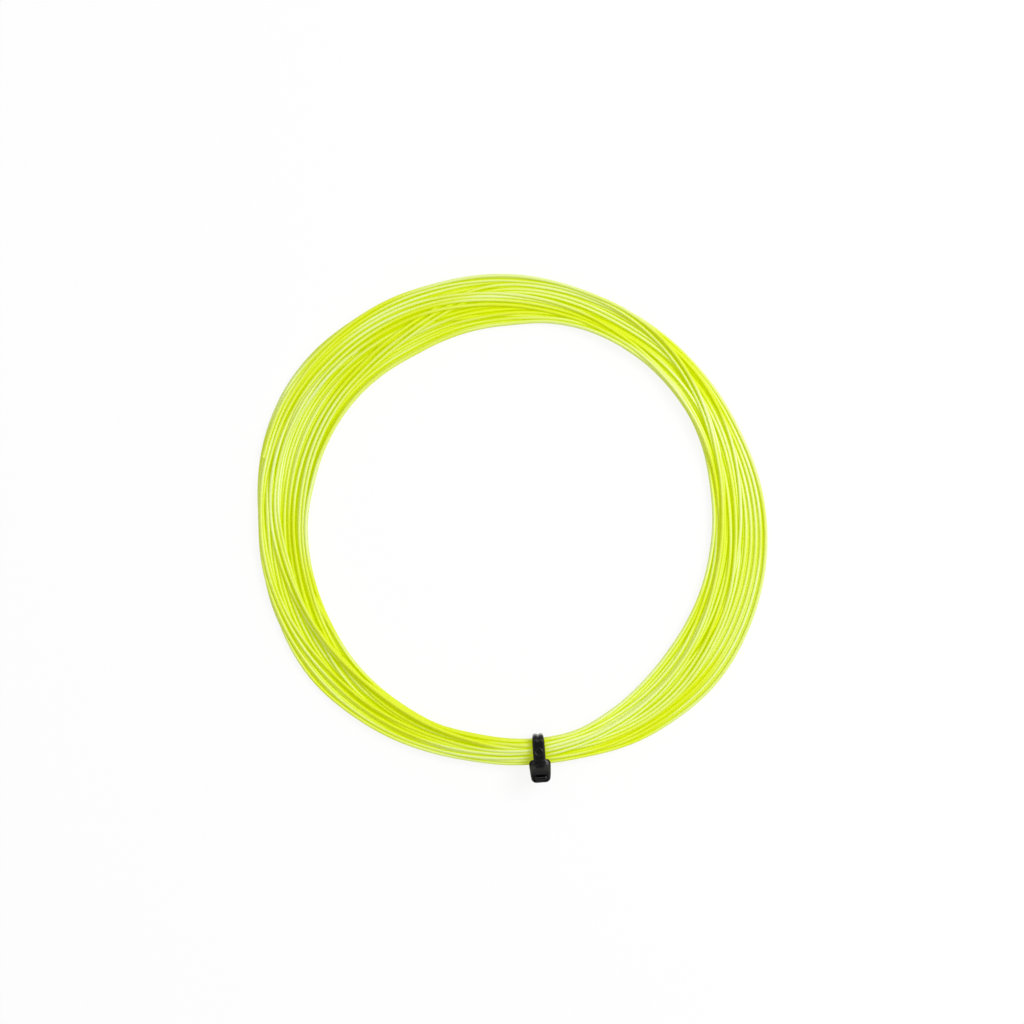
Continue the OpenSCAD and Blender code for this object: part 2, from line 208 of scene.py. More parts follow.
# Ribbons of loops that lie side by side, the lowest first: how many loops, 1 where they wind
# outwards and -1 where inwards, and the ribbon's inner and outer edge at some directions. The two
# lowest have no edges of their own: each fills the coil from rim to rim, and the second lies in
# the grooves of the first.
RIBBONS = (
    (12.5, -1, ()),
    (12.5, -1, ()),
    (3.2, -1, (
        (0, 44.9, 48.2), (10, 44.7, 48.2), (20, 45.3, 48.6), (40, 45.3, 49.0), (60, 44.7, 48.6),
        (75, 45.3, 49.0), (90, 46.1, 49.2), (100, 44.9, 49.0), (110, 43.3, 47.3),
        (120, 42.0, 46.1), (135, 41.4, 45.7), (150, 41.8, 46.1), (180, 42.0, 46.5),
        (195, 42.4, 46.5), (210, 43.3, 47.6), (225, 44.5, 49.0), (240, 45.3, 49.6),
        (260, 45.3, 49.0), (277, 45.1, 49.6), (290, 46.9, 49.6), (300, 47.6, 50.4),
        (310, 47.8, 50.8), (320, 47.1, 50.8), (330, 46.5, 50.2), (340, 46.1, 49.4),
        (350, 45.5, 48.6),
    )),
    (3.2, -1, (
        (0, 41.4, 44.3), (20, 41.8, 44.3), (40, 42.2, 44.7), (60, 42.4, 44.9), (80, 43.1, 45.5),
        (90, 43.7, 46.1), (100, 44.3, 46.9), (110, 45.1, 47.8), (120, 45.7, 48.8),
        (130, 46.1, 49.8), (140, 46.7, 50.2), (150, 47.3, 50.8), (160, 47.8, 51.0),
        (170, 47.3, 51.0), (180, 46.7, 50.8), (190, 45.3, 49.8), (200, 44.7, 49.0),
        (210, 44.3, 47.8), (220, 44.1, 46.5), (230, 43.9, 45.5), (240, 44.1, 45.3),
        (260, 44.7, 46.5), (277, 45.1, 49.0), (290, 44.9, 48.2), (300, 44.5, 47.6),
        (310, 44.1, 47.1), (320, 43.3, 46.3), (330, 42.4, 45.7), (340, 41.8, 45.1),
    )),
    (3.2, 1, (
        (0, 41.6, 43.9), (20, 42.7, 45.1), (30, 43.7, 46.5), (40, 44.8, 47.6), (50, 45.9, 48.6),
        (60, 46.9, 49.0), (70, 47.8, 49.2), (90, 47.6, 50.2), (110, 49.2, 51.0),
        (120, 50.0, 51.8), (134, 50.6, 52.4), (150, 51.0, 53.5), (165, 50.4, 52.9),
        (180, 50.6, 52.0), (190, 50.2, 52.0), (200, 49.4, 52.0), (210, 48.3, 51.8),
        (220, 47.3, 51.4), (230, 46.5, 51.2), (240, 46.1, 50.6), (250, 45.9, 49.8),
        (260, 46.1, 49.0), (277, 45.5, 49.0), (285, 45.5, 48.0), (300, 45.1, 47.6),
        (320, 43.7, 46.5), (340, 42.0, 44.7),
    )),
)
# The two lowest ribbons begin and end with this much of a turn along a rim. Their loops bunch up:
# how many bunches across, how often they shift going once round, and how strongly
RIM_HOLD = 0.4
BUNCHING = ((4, 2, 0.13), (3, 3, 0.1))
# The upper ribbons gather in this share of their width
GATHERING = 0.76
# How high a ribbon starts above the one below it, how much of a turn the string takes to go from
# one to the next, and over how many half degrees the corners of rims and edges are rounded
LEVEL_RISE = 1.0
RIBBON_CHANGE = 0.5
CORNER_ROUNDING = 21
# How far a loop strays from its lane, ribbon by ribbon, and from its level, and over what stretch
LANE_DRIFT = (0.02, 0.02, 0.26, 0.26, 0.26)
LANE_DRIFT_TURNS = 0.23
LEVEL_DRIFT = 0.10
LEVEL_DRIFT_TURNS = 0.31

# At the tie the loops rise over the strap, which runs under them and holds them down from above
tie_x, tie_y = (c / MM for c in frame["record"]["mounts"][0]["pos_m"][:2])
TIE_DIRECTION = math.degrees(math.atan2(tie_y - RING_Y, tie_x - RING_X)) % 360
STRAP_T = 0.95
STRAP_INSIDE_H = 4.22
STRAP_CLEARANCE = 0.05
TABLE_CLEARANCE = 0.01
LIFT_REACH = 40.0
STRAP_HOLDS = 3.0

count = int(LOOPS * PLACES)
turn = np.arange(count) / PLACES
direction = (END_DIRECTION - 360 * (LOOPS - turn)) % 360
rows = math.ceil(count / PLACES)
rng = np.random.default_rng(SEED)


def round_the_coil(stops, at):
    """Values given at some directions, joined smoothly right round."""
    fine = np.arange(720) / 2
    values = np.interp(fine, [s[0] for s in stops], [s[1] for s in stops], period=360)
    window = np.hanning(CORNER_ROUNDING)
    ends = len(window) // 2
    soft = np.convolve(np.pad(values, ends, mode="wrap"), window / window.sum(), mode="valid")
    return np.interp(at, fine, soft, period=360)


def through(a, b, c, d, t):
    """The smooth curve through four values, at share t of the way from the second to the third."""
    return b + 0.5 * t * (c - a + t * (2 * a - 5 * b + 4 * c - d + t * (3 * (b - c) + d - a)))


def wander(step, size):
    """A slow random drift along the string, which changes course once in each step."""
    knots = rng.normal(0, size, int(LOOPS / step) + 4)
    at = turn / step + 1
    i = at.astype(int)
    last = np.minimum(i + 2, len(knots) - 1)
    return through(knots[i - 1], knots[i], knots[i + 1], knots[last], at - i)


inner = round_the_coil([(s[0], s[1]) for s in RIM], direction) + STRING_D / 2
outer = round_the_coil([(s[0], s[2]) for s in RIM], direction) - STRING_D / 2
off_tie = np.abs((direction - TIE_DIRECTION + 180) % 360 - 180)
lift = np.where(off_tie < LIFT_REACH, (1 + np.cos(np.pi * off_tie / LIFT_REACH)) / 2, 0)
table_z = STRING_D / 2 + TABLE_CLEARANCE + lift * (STRAP_T + STRAP_CLEARANCE)
strap_z = np.where(off_tie < STRAP_HOLDS, STRAP_T + STRAP_INSIDE_H - STRING_D / 2, np.inf)

# Each loop starts in its ribbon's lane and level, and drifts a little from it
lane_r = np.zeros(count)
level = np.zeros(count)
first = 0.0
for k, (loops, sense, edges) in enumerate(RIBBONS):
    ribbon_inner, ribbon_outer = inner, outer
    if edges:
        ribbon_inner = round_the_coil([(e[0], e[1]) for e in edges], direction) + STRING_D / 2
        ribbon_outer = round_the_coil([(e[0], e[2]) for e in edges], direction) - STRING_D / 2
        spare = (1 - GATHERING) / 2 * (ribbon_outer - ribbon_inner)
        ribbon_inner, ribbon_outer = ribbon_inner + spare, ribbon_outer - spare
    hold = 0 if edges else RIM_HOLD
    along = np.clip((turn - first - hold) / (loops - 1 - 2 * hold), 0, 1)
    across = along if sense > 0 else 1 - along
    for bunches, waves, amount in () if edges else BUNCHING:
        bunch = np.sin(np.pi * bunches * across) / (np.pi * bunches)
        across = across + amount * bunch * np.cos(waves * np.radians(direction))
    ribbon_r = ribbon_inner + (ribbon_outer - ribbon_inner) * across
    joined = np.clip((turn - first) / RIBBON_CHANGE + 0.5, 0, 1) if k else np.ones(count)
    joined = joined * joined * (3 - 2 * joined)
    lane_r += joined * (ribbon_r - lane_r)
    level += joined * (k - level)
    first += loops
stray = wander(LANE_DRIFT_TURNS, 1.0) * np.interp(level, range(len(RIBBONS)), LANE_DRIFT)
lane_r = np.clip(lane_r + stray, inner, outer)
r = lane_r.copy()
z = table_z + LEVEL_RISE * level + wander(LEVEL_DRIFT_TURNS, LEVEL_DRIFT)

# The pile settles: loops push each other apart, fall, stay inside the rims and bend only slowly
ROUNDS = 1400
FALL = 0.003
LANE_PULL = 0.03
STIFFNESS = 0.055
PUSH = 0.4

there = np.zeros(rows * PLACES, bool)
there[:count] = True
both_there = there.reshape(rows, PLACES)
both_there = both_there[:, None, :] & both_there[None, :, :]
both_there &= ~np.eye(rows, dtype=bool)[:, :, None]


def by_loop(values):
    """Values along the string as one row for each loop."""
    return np.pad(values, (0, rows * PLACES - count)).reshape(rows, PLACES)


for step in range(ROUNDS):
    z -= FALL
    r += LANE_PULL * (lane_r - r)
    for values in (r, z):
        bend = np.zeros(count)
        bend[2:-2] = (
            values[:-4] - 4 * values[1:-3] + 6 * values[2:-2] - 4 * values[3:-1] + values[4:]
        )
        values -= STIFFNESS * bend
    loops_r, loops_z = by_loop(r), by_loop(z)
    apart_r = loops_r[:, None, :] - loops_r[None, :, :]
    apart_z = loops_z[:, None, :] - loops_z[None, :, :]
    apart = np.sqrt(apart_r**2 + apart_z**2) + 1e-6
    push = np.where(both_there, np.maximum(STRING_D - apart, 0), 0) / apart * PUSH
    r += (push * apart_r).sum(1).ravel()[:count]
    z += (push * apart_z).sum(1).ravel()[:count]
    r = np.clip(r, inner, outer)
    z = np.clip(z, table_z, strap_z)

at = np.arange(0, count - 1, PLACES / RINGS)
i = np.clip(at.astype(int), 1, count - 3)
bearing = np.radians(END_DIRECTION - 360 * (LOOPS - at / PLACES))
fine_r, fine_z = (through(v[i - 1], v[i], v[i + 1], v[i + 2], at - i) for v in (r, z))
line = np.stack([RING_X + fine_r * np.cos(bearing), RING_Y + fine_r * np.sin(bearing), fine_z], 1)
steps = np.linalg.norm(np.diff(line, axis=0), axis=1)
spare = steps.sum() - STRING_LENGTH
line = line[np.searchsorted(np.cumsum(steps), spare) :] if spare > 0 else line
line *= MM


def new_shape_tree(name, inputs):
    """A Geometry Nodes tree with those named inputs."""
    made = bpy.data.node_groups.new(name, "GeometryNodeTree")
    for label, kind in (("Geometry", "Geometry"), *inputs):
        made.interface.new_socket(label, in_out="INPUT", socket_type="NodeSocket" + kind)
    made.interface.new_socket("Geometry", in_out="OUTPUT", socket_type="NodeSocketGeometry")
    return made


def grown(name, points, tree, sizes):
    """The mesh that the tree makes along a line of points."""
    wire = bpy.data.meshes.new(name)
    wire.from_pydata(points.tolist(), [(i, i + 1) for i in range(len(points) - 1)], [])
    carrier = put(name, wire)
    growth = carrier.modifiers.new(name, "NODES")
    growth.node_group = tree
    for socket in tree.interface.items_tree:
        if socket.in_out == "INPUT" and socket.name in sizes:
            growth[socket.identifier] = sizes[socket.name]
    bpy.context.view_layer.update()
    seen = carrier.evaluated_get(bpy.context.evaluated_depsgraph_get())
    made = bpy.data.meshes.new_from_object(seen)
    bpy.data.objects.remove(carrier)
    return made


# Swept through all its points: a round section, closed at both cut ends
sweep = new_shape_tree(
    "string_along_its_line",
    (("String diameter", "Float"), ("Sides", "Int"), ("Material", "Material")),
)
given = add(sweep, "NodeGroupInput")
curve = add(sweep, "GeometryNodeMeshToCurve", {"Mesh": given.outputs["Geometry"]})
how_far = add(sweep, "GeometryNodeSplineParameter")
marked = add(
    sweep,
    "GeometryNodeStoreNamedAttribute",
    {"Geometry": curve.outputs["Curve"], "Name": "along", "Value": how_far.outputs["Length"]},
    data_type="FLOAT",
    domain="POINT",
)
radius = add(
    sweep,
    "ShaderNodeMath",
    {0: given.outputs["String diameter"], 1: 0.5},
    operation="MULTIPLY",
)
section = add(
    sweep,
    "GeometryNodeCurvePrimitiveCircle",
    {"Resolution": given.outputs["Sides"], "Radius": radius.outputs[0]},
)
tube = add(
    sweep,
    "GeometryNodeCurveToMesh",
    {
        "Curve": marked.outputs["Geometry"],
        "Profile Curve": section.outputs["Curve"],
        "Fill Caps": True,
    },
)
smooth = add(sweep, "GeometryNodeSetShadeSmooth", {"Geometry": tube.outputs["Mesh"]})
real = add(sweep, "GeometryNodeRealizeInstances", {"Geometry": smooth.outputs["Geometry"]})
coated = add(
    sweep,
    "GeometryNodeSetMaterial",
    {"Geometry": real.outputs["Geometry"], "Material": given.outputs["Material"]},
)
add(sweep, "NodeGroupOutput", {"Geometry": coated.outputs["Geometry"]})

# Fluorescent nylon under a clear coat. A painted glow, a faint even emission, stands in for the
# string's fluorescence and lifts the shade between loops. The base colour carries a painted sheen:
# pale on the loops' upper sides where they lie open to the sky, and plain deep yellow down between
# each other, where the coat's gloss is left off too. The coat is uneven along the string, and
# hides the fine fibres.
COAT_WAVE = 300.0
SKY_REACH = 3.2
SKY_CONTRAST = 2.0
CROWN_BREADTH = 0.4
DEEP_YELLOW = "#C4CF00"
PAINTED_SHEEN_YELLOW = "#CCDA98"
PAINTED_GLOW_YELLOW = "#D9EA00"
# Neighbouring loops lie at the same slant to the light and share their painted sheen, in bands
# that run round the coil: a band's width, how fast the bands change going round, and how much more
# painted sheen the lamp's side gets
BAND_W = 2.6
BAND_CHANGE = (-1.6, -1.6, 0)
LAMP_SIDE_PAINTED_SHEEN = (0.025, 0.01, 0)

coat, tree = new_material("fluorescent_coated_nylon")
along = add(tree, "ShaderNodeAttribute", attribute_name="along")
thickness = add(
    tree,
    "ShaderNodeTexNoise",
    {"W": along.outputs["Fac"], "Scale": 1 / (COAT_WAVE * MM), "Detail": 2.0},
    noise_dimensions="1D",
)
evenness = add(
    tree,
    "ShaderNodeMapRange",
    {
        "Value": thickness.outputs["Fac"],
        "From Min": 0.36,
        "From Max": 0.6,
        "To Min": 0.7,
        "To Max": 1.0,
    },
)
place = add(tree, "ShaderNodeTexCoord")
from_middle = add(
    tree,
    "ShaderNodeVectorMath",
    {0: place.outputs["Object"], 1: (RING_X * MM, RING_Y * MM, 0)},
    operation="SUBTRACT",
)
flat = add(
    tree,
    "ShaderNodeVectorMath",
    {0: from_middle.outputs[0], 1: (1, 1, 0)},
    operation="MULTIPLY",
)
outwards = add(tree, "ShaderNodeVectorMath", {0: flat.outputs[0]}, operation="NORMALIZE")
how_far_out = add(tree, "ShaderNodeVectorMath", {0: flat.outputs[0]}, operation="LENGTH")
bands_out = add(
    tree,
    "ShaderNodeMath",
    {0: how_far_out.outputs["Value"], 1: 1 / (BAND_W * MM)},
    operation="MULTIPLY",
)
raised = add(tree, "ShaderNodeCombineXYZ", {"Z": bands_out.outputs[0]})
band_place = add(
    tree,
    "ShaderNodeVectorMath",
    {0: outwards.outputs[0], 1: BAND_CHANGE, 2: raised.outputs[0]},
    operation="MULTIPLY_ADD",
)
bands = add(
    tree,
    "ShaderNodeTexNoise",
    {"Vector": band_place.outputs[0], "Scale": 1.0, "Detail": 1.0},
)
lamp_side = add(
    tree,
    "ShaderNodeVectorMath",
    {0: outwards.outputs[0], 1: LAMP_SIDE_PAINTED_SHEEN},
    operation="DOT_PRODUCT",
)
# More painted sheen on the lamp's side of the coil, and in bands round it
lit = add(tree, "ShaderNodeMath", {0: bands.outputs["Fac"], 1: lamp_side.outputs["Value"]})
most_painted_sheen_and_coat = add(
    tree,
    "ShaderNodeMapRange",
    {
        "Value": lit.outputs[0],
        "From Min": 0.35,
        "From Max": 0.60,
        "To Min": 0.1,
        "To Max": evenness.outputs["Result"],
    },
)
sky = add(tree, "ShaderNodeAmbientOcclusion", {"Distance": SKY_REACH * MM}, samples=6)
open_sky = add(
    tree,
    "ShaderNodeMath",
    {0: sky.outputs["AO"], 1: SKY_CONTRAST},
    operation="POWER",
)
facing = add(tree, "ShaderNodeNewGeometry")
upwards = add(tree, "ShaderNodeSeparateXYZ", {0: facing.outputs["Normal"]})
crown = add(
    tree,
    "ShaderNodeMath",
    {0: upwards.outputs["Z"], 1: CROWN_BREADTH},
    operation="POWER",
    use_clamp=True,
)
open_crown = add(
    tree,
    "ShaderNodeMath",
    {0: open_sky.outputs[0], 1: crown.outputs[0]},
    operation="MULTIPLY",
)
# Painted sheen where a crown faces up, open to the sky; the coat's gloss goes only there too
painted_sheen_and_coat = add(
    tree,
    "ShaderNodeMapRange",
    {
        "Value": open_crown.outputs[0],
        "From Min": 0.12,
        "From Max": 0.66,
        "To Max": most_painted_sheen_and_coat.outputs["Result"],
    },
)
# Base colour: the plain deep yellow, painted pale as sheen on the open crowns
dye_with_painted_sheen = add(
    tree,
    "ShaderNodeMix",
    {0: painted_sheen_and_coat.outputs["Result"], 6: linear(DEEP_YELLOW), 7: linear(PAINTED_SHEEN_YELLOW)},
    data_type="RGBA",
)
shade = add(
    tree,
    "ShaderNodeBsdfPrincipled",
    {
        "Base Color": dye_with_painted_sheen.outputs[2],
        "Roughness": 0.36,
        "IOR": 1.53,
        "Specular IOR Level": 0.06,
        "Coat Weight": painted_sheen_and_coat.outputs["Result"],
        "Coat Roughness": 0.38,
        "Coat IOR": 1.85,
        # Painted glow: stands in for the fluorescence and lifts the shade between loops
        "Emission Color": linear(PAINTED_GLOW_YELLOW),
        "Emission Strength": 0.28,
    },
)
add(tree, "ShaderNodeOutputMaterial", {"Surface": shade.outputs[0]})

sizes = {"String diameter": STRING_D * MM, "Sides": STRING_SIDES, "Material": coat}
racket_string = put("racket_string", grown("string_line", line, sweep, sizes))
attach(racket_string, "coil")
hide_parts("string_coil")

# ---- Cable tie: strap ----
# Moulded in one with its head from black nylon 6.6, 2.5 mm wide. It runs from the head over the
# bundle, round it and up through the head's slot, with its teeth towards the string. The cut
# through its tail left a ridge along the outer side and tore the toothed side out deeper.

# Across the tie, outward from the coil and up from the tie's foot, in millimetres
STRAP_W = 2.5
STRAP_EDGE_R = 0.28
RAIL_EDGE_R = 0.08
CHANNEL_W = 1.7
CHANNEL_DEPTH = 0.2
ROOT_Y = 1.728
ROOT_IN_HEAD = 0.7
NEAR_SIDE_Y = -2.48
TAIL_BEND_Y = 2.528
BEND_R = 0.43
TAIL_Y = 4.718
TAIL_END_Z = 8.38
TORN_L = 1.0
TORN_DEPTH = 0.6
END_ROUND = 0.16
# Bent tightly round the bundle's near side, the strap is pinched and hollowed along its middle
CREASE_DEPTH = 0.22
CREASE_W = 0.24
CREASE_REACH = 0.4
CREASE_LINES = (2.1, 1.6, 1.2, 0.8, 0.4, 0)
BEND_PINCH = 0.22
SCRAP_T = 0.2
SCRAP_W = 1.55
SCRAP_DROP = 0.26
SCRAP_EDGE_DROP = 0.18
STATION = 0.08
TOOTH_PITCH = 0.7
LAST_TOOTH_Z = 7.395
STATIONS_PER_TOOTH = 8
MARK_D = 1.5
MARK_RIDGE_D = 0.2
MARK_RIDGE_SIDES = 8
MARK_SIDES = 48
MARK_SUNK = 0.01
SHARP_ANGLE = 40

tie_across = Vector(frame["record"]["behaviour"]["joints"][0]["axis"]).normalized()
tie_outward = Vector((-tie_across.y, tie_across.x, 0))
strap_top_z = STRAP_T + STRAP_INSIDE_H


def in_tie(points):
    """Points across, outward and up from the tie's foot, in mm, as points of the part."""
    across, outward, up = np.asarray(points, float).T[:, :, None]
    foot = np.array([tie_x, tie_y, 0])
    return (foot + across * tie_across + outward * tie_outward + up * np.array([0, 0, 1])) * MM


def straight(start, end, look):
    """Places along the strap's toothed face, outward and up, and where its smooth face looks."""
    steps = round(math.dist(start, end) / STATION)
    return np.linspace(start, end, steps + 1), np.tile(look, (steps + 1, 1))


def quarter_bend(centre, radius, start):
    """The same round a quarter of a bend, which starts in that direction from its centre."""
    steps = max(3, round(radius * math.pi / 2 / STATION))
    turned = np.radians(start + 90 * np.arange(1, steps) / steps)
    looks = np.stack([np.cos(turned), np.sin(turned)], 1)
    return np.array(centre) + radius * looks, looks


near_bend_y = NEAR_SIDE_Y + BEND_R
tail_bend_r = TAIL_Y - TAIL_BEND_Y
runs = (
    straight((ROOT_Y + ROOT_IN_HEAD, strap_top_z), (near_bend_y, strap_top_z), (0.0, 1.0)),
    quarter_bend((near_bend_y, strap_top_z - BEND_R), BEND_R, 90),
    straight((NEAR_SIDE_Y, strap_top_z - BEND_R), (NEAR_SIDE_Y, STRAP_T + BEND_R), (-1.0, 0.0)),
    quarter_bend((near_bend_y, STRAP_T + BEND_R), BEND_R, 180),
    straight((near_bend_y, STRAP_T), (TAIL_BEND_Y, STRAP_T), (0.0, -1.0)),
    quarter_bend((TAIL_BEND_Y, STRAP_T + tail_bend_r), tail_bend_r, 270),
    straight((TAIL_Y, STRAP_T + tail_bend_r), (TAIL_Y, TAIL_END_Z), (1.0, 0.0)),
)
places = np.concatenate([run[0] for run in runs])
looks = np.concatenate([run[1] for run in runs])
travel = np.concatenate([[0], np.cumsum(np.linalg.norm(np.diff(places, axis=0), axis=1))])
crease_from = travel[len(runs[0][0]) + len(runs[1][0]) - 1]
crease_to = travel[len(runs[0][0]) + len(runs[1][0]) + len(runs[2][0])]

# Half of the section, from the middle of the channel round the edge to the middle of the smooth
# face: how far across, and how far out from the toothed face
half_w = STRAP_W / 2
half_section = [(0, CHANNEL_DEPTH), (CHANNEL_W / 2, CHANNEL_DEPTH), (CHANNEL_W / 2, 0)]
half_section += [(half_w - RAIL_EDGE_R, 0), (half_w, RAIL_EDGE_R)]
for turned in np.radians([0, 30, 60, 90]):
    across = half_w - STRAP_EDGE_R * (1 - math.cos(turned))
    half_section.append((across, STRAP_T - STRAP_EDGE_R * (1 - math.sin(turned))))
half_section += [(CREASE_W * k, STRAP_T) for k in CREASE_LINES]
section = np.array(half_section + [(-x, h) for x, h in half_section[-2:0:-1]])
smooth_face = section[:, 1] > STRAP_T - 0.001
channel_floor = (section[:, 1] == CHANNEL_DEPTH) & (np.abs(section[:, 0]) <= CHANNEL_W / 2)

verts = []
for place, look, s in zip(places, looks, travel):
    ring = section.copy()
    beyond = max(crease_from - s, s - crease_to, 0)
    bend = math.exp(-((beyond / CREASE_REACH) ** 2))
    hollow = np.exp(-((ring[smooth_face, 0] / CREASE_W) ** 2))
    ring[smooth_face, 1] -= CREASE_DEPTH * bend * hollow
    ring[:, 0] *= 1 - BEND_PINCH * bend * ring[:, 1] / STRAP_T
    if travel[-1] - s < TORN_L:
        ring[channel_floor, 1] = TORN_DEPTH
    past = max(0, END_ROUND - (travel[-1] - s))
    squeeze = END_ROUND - math.sqrt(END_ROUND**2 - past**2)
    ring[channel_floor, 1] += squeeze
    ring[:, 1] = np.clip(ring[:, 1], squeeze, STRAP_T - squeeze)
    ring[:, 0] = np.clip(ring[:, 0], squeeze - half_w, half_w - squeeze)
    verts += [(x, *(place + look * h)) for x, h in ring]


def skinned(name, verts, sides):
    """A closed mesh through rings of that many corners each."""
    faces = []
    for start in range(0, len(verts) - sides, sides):
        for j in range(sides):
            k = (j + 1) % sides
            faces.append((start + j, start + k, start + sides + k, start + sides + j))
    faces += [tuple(range(sides)), tuple(len(verts) - sides + j for j in range(sides))]
    made = bpy.data.meshes.new(name)
    made.from_pydata(in_tie(verts).tolist(), [], faces)
    return made


band = skinned("strap_band", verts, len(section))

# Scrap of the channel's floor, left standing where the cutter tore the tail
corners = (
    (0, -TORN_L),
    (0, -SCRAP_DROP),
    (SCRAP_T, -SCRAP_EDGE_DROP),
    (SCRAP_T, -TORN_L),
)
scrap = [
    (x, TAIL_Y + CHANNEL_DEPTH + y, TAIL_END_Z + h)
    for x in (-SCRAP_W / 2, SCRAP_W / 2)
    for y, h in corners
]
scrap = skinned("torn_scrap", scrap, len(corners))

# Round ridge left by the ejector pin
mark = bmesh.new()
bmesh.ops.create_circle(mark, segments=MARK_RIDGE_SIDES, radius=MARK_RIDGE_D / 2 * MM)
bmesh.ops.rotate(mark, verts=mark.verts, matrix=Matrix.Rotation(math.pi / 2, 3, "X"))
bmesh.ops.translate(mark, verts=mark.verts, vec=(MARK_D / 2 * MM, 0, 0))
bmesh.ops.spin(
    mark,
    geom=mark.edges[:],
    axis=(0, 0, 1),
    cent=(0, 0, 0),
    angle=2 * math.pi,
    steps=MARK_SIDES,
    use_merge=True,
)
mark_at = in_tie([(0, 0, strap_top_z + STRAP_T - MARK_SUNK)])[0]
bmesh.ops.translate(mark, verts=mark.verts, vec=mark_at)
ejector_mark = bpy.data.meshes.new("ejector_mark")
mark.to_mesh(ejector_mark)
mark.free()

# Black nylon from a spark-eroded mould: nearly matt, with soft light along its rounded edges. The
# mould's grain is finer than shows, and is drawn coarser.
GRAIN = 0.12
GRAIN_DEPTH = 0.02
NYLON_BLACK = "#08080A"

nylon, tree = new_material("black_moulded_nylon")
where = add(tree, "ShaderNodeTexCoord")
grain = add(
    tree,
    "ShaderNodeTexNoise",
    {"Vector": where.outputs["Object"], "Scale": 1 / (GRAIN * MM), "Detail": 2.0},
)
texture = add(
    tree,
    "ShaderNodeBump",
    {"Height": grain.outputs["Fac"], "Strength": 0.3, "Distance": GRAIN_DEPTH * MM},
)
shade = add(
    tree,
    "ShaderNodeBsdfPrincipled",
    {
        "Base Color": linear(NYLON_BLACK),
        "Roughness": 0.24,
        "IOR": 1.53,
        "Specular IOR Level": 0.3,
        "Normal": texture.outputs["Normal"],
    },
)
add(tree, "ShaderNodeOutputMaterial", {"Surface": shade.outputs[0]})

# Teeth: three-sided ridges across the channel, standing on a line along its floor
toothed = new_shape_tree(
    "teeth_along_the_strap",
    (
        ("Teeth", "Int"),
        ("Tooth height", "Float"),
        ("Channel width", "Float"),
        ("Across", "Vector"),
        ("Material", "Material"),
    ),
)
given = add(toothed, "NodeGroupInput")
floor_line = add(toothed, "GeometryNodeMeshToCurve", {"Mesh": given.outputs["Geometry"]})
spaced = add(
    toothed,
    "GeometryNodeResampleCurve",
    {"Curve": floor_line.outputs["Curve"], "Count": given.outputs["Teeth"]},
)
tooth = add(
    toothed,
    "GeometryNodeMeshCylinder",
    {
        "Vertices": 3,
        "Radius": given.outputs["Tooth height"],
        "Depth": given.outputs["Channel width"],
    },
)
run = add(toothed, "GeometryNodeInputTangent")
crest = add(
    toothed,
    "ShaderNodeVectorMath",
    {0: given.outputs["Across"], 1: run.outputs["Tangent"]},
    operation="CROSS_PRODUCT",
)
lying = add(
    toothed,
    "FunctionNodeAlignRotationToVector",
    {"Vector": given.outputs["Across"]},
    axis="Z",
)
standing = add(
    toothed,
    "FunctionNodeAlignRotationToVector",
    {"Rotation": lying.outputs["Rotation"], "Vector": crest.outputs["Vector"]},
    axis="X",
    pivot_axis="Z",
)
placed = add(
    toothed,
    "GeometryNodeInstanceOnPoints",
    {
        "Points": spaced.outputs["Curve"],
        "Instance": tooth.outputs["Mesh"],
        "Rotation": standing.outputs["Rotation"],
    },
)
real = add(toothed, "GeometryNodeRealizeInstances", {"Geometry": placed.outputs["Instances"]})
moulded = add(
    toothed,
    "GeometryNodeSetMaterial",
    {"Geometry": real.outputs["Geometry"], "Material": given.outputs["Material"]},
)
add(toothed, "NodeGroupOutput", {"Geometry": moulded.outputs["Geometry"]})

last_tooth = travel[-1] - (TAIL_END_Z - LAST_TOOTH_Z)
teeth = int((last_tooth - ROOT_IN_HEAD) / TOOTH_PITCH)
first_tooth = last_tooth - (teeth - 1) * TOOTH_PITCH
at = np.linspace(first_tooth, last_tooth, STATIONS_PER_TOOTH * teeth)
floor_places = places + looks * CHANNEL_DEPTH
floor = in_tie([(0, *(np.interp(s, travel, floor_places[:, k]) for k in (0, 1))) for s in at])
sizes = {
    "Teeth": teeth,
    "Tooth height": CHANNEL_DEPTH * MM,
    "Channel width": CHANNEL_W * MM,
    "Across": tie_across,
    "Material": nylon,
}
ribs = grown("channel_floor", floor, toothed, sizes)


def moulding(name, meshes):
    """Closed meshes as one piece of black nylon, smooth but for its sharp edges."""
    shape = bmesh.new()
    for mesh in meshes:
        shape.from_mesh(mesh)
    bmesh.ops.recalc_face_normals(shape, faces=shape.faces)
    made = bpy.data.meshes.new(name)
    shape.to_mesh(made)
    shape.free()
    made.materials.clear()
    made.materials.append(nylon)
    made.polygons.foreach_set("material_index", [0] * len(made.polygons))
    made.shade_smooth()
    made.set_sharp_from_angle(angle=math.radians(SHARP_ANGLE))
    return put(name, made)


strap = moulding("cable_tie_strap", (band, scrap, ejector_mark, ribs))
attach(strap, "coil")
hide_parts("tie_strap")

# ---- Cable tie: head ----
# A tapered block at the strap's root, with rounded corners and chamfered sides. The strap's smooth
# face runs on over a low ledge between two sloping shoulders. Behind the ledge the head rises to
# its flat top, where the slot for the strap comes out, with the pawl's pocket hidden below.

HEAD_W = 4.36
HEAD_L = 4.45
HEAD_ROOT_Y = 1.55
HEAD_H = 3.3
HEAD_END_DROP = 0.25
HEAD_TAPER = 0.32
TAPER_FROM = 1.8
HEAD_CORNER_R = 0.85
CORNER_TURNS = np.radians(np.arange(0, 91, 15))
SHOULDER_DROP = 0.42
SIDE_DROP = 0.5
CHAMFER_LEAST_W = 0.1
EDGE_ROUND = 0.06
ROUNDED_ANGLE = 25
